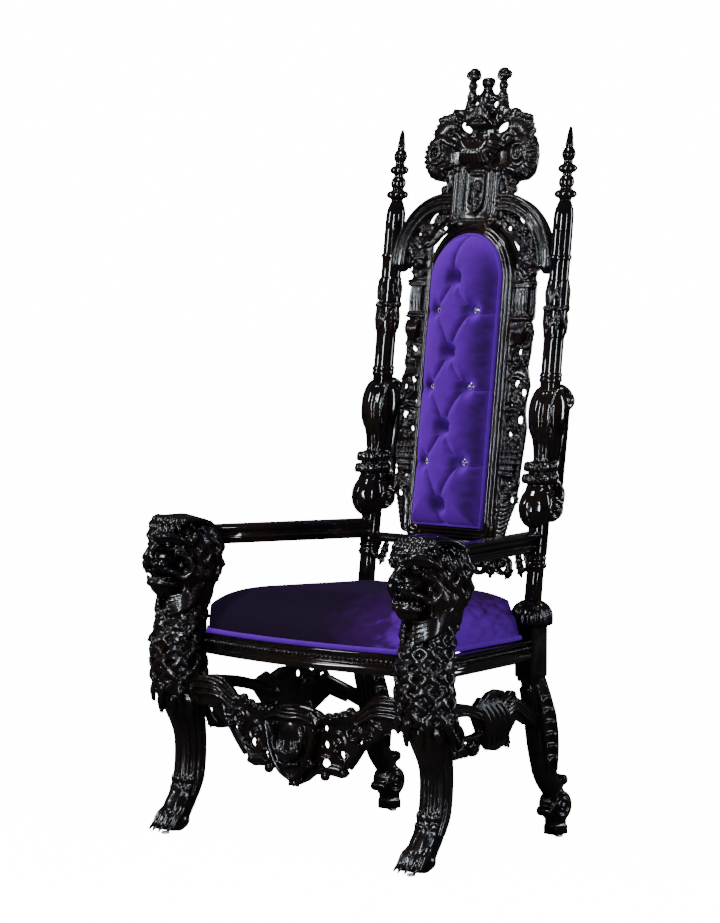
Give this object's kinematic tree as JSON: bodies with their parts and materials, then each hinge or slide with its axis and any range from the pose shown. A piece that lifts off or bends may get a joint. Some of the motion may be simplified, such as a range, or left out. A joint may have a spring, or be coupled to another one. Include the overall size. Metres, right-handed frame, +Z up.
{
  "type": "throne chair",
  "caption": "High-backed carved throne with lion-head arms, pierced back and crest, button-tufted back pad and domed upholstered seat.",
  "frame": {"origin": "on the floor, under the centre of the throne's bounding box", "axes": "+Z up, -Y to the front where the sitter looks, +X to the sitter's left"},
  "size_m": [0.9794, 0.7706, 1.8428],
  "materials": {
    "lacquered_wood": "gloss black lacquer",
    "velvet": "purple velvet",
    "crystal": "clear faceted",
    "glide_plastic": "matt"
  },
  "bodies": {
    "root": {"front_leg_left": "lacquered_wood", "front_leg_right": "lacquered_wood", "rear_leg_left": "lacquered_wood", "rear_leg_right": "lacquered_wood", "back_post_left": "lacquered_wood", "back_post_right": "lacquered_wood", "scroll_console_left": "lacquered_wood", "scroll_console_right": "lacquered_wood", "seat_rail_front": "lacquered_wood", "seat_rail_left": "lacquered_wood", "seat_rail_right": "lacquered_wood", "seat_rail_back": "lacquered_wood", "arm_left": "lacquered_wood", "arm_right": "lacquered_wood", "back_frame": "lacquered_wood", "back_board": "lacquered_wood", "back_apron": "lacquered_wood", "crest": "lacquered_wood", "openwork_left": "lacquered_wood", "openwork_right": "lacquered_wood", "front_stretcher": "lacquered_wood", "side_stretcher_left": "lacquered_wood", "side_stretcher_right": "lacquered_wood", "seat_cushion": "velvet", "back_pad": "velvet", "crystal_button_1": "crystal", "crystal_button_2": "crystal", "crystal_button_3": "crystal", "crystal_button_4": "crystal", "crystal_button_5": "crystal", "crystal_button_6": "crystal", "crystal_button_7": "crystal", "crystal_button_8": "crystal", "crystal_button_9": "crystal", "crystal_button_10": "crystal", "glide_front_left": "glide_plastic", "glide_front_right": "glide_plastic", "glide_rear_left": "glide_plastic", "glide_rear_right": "glide_plastic"}
  },
  "joints": []
}
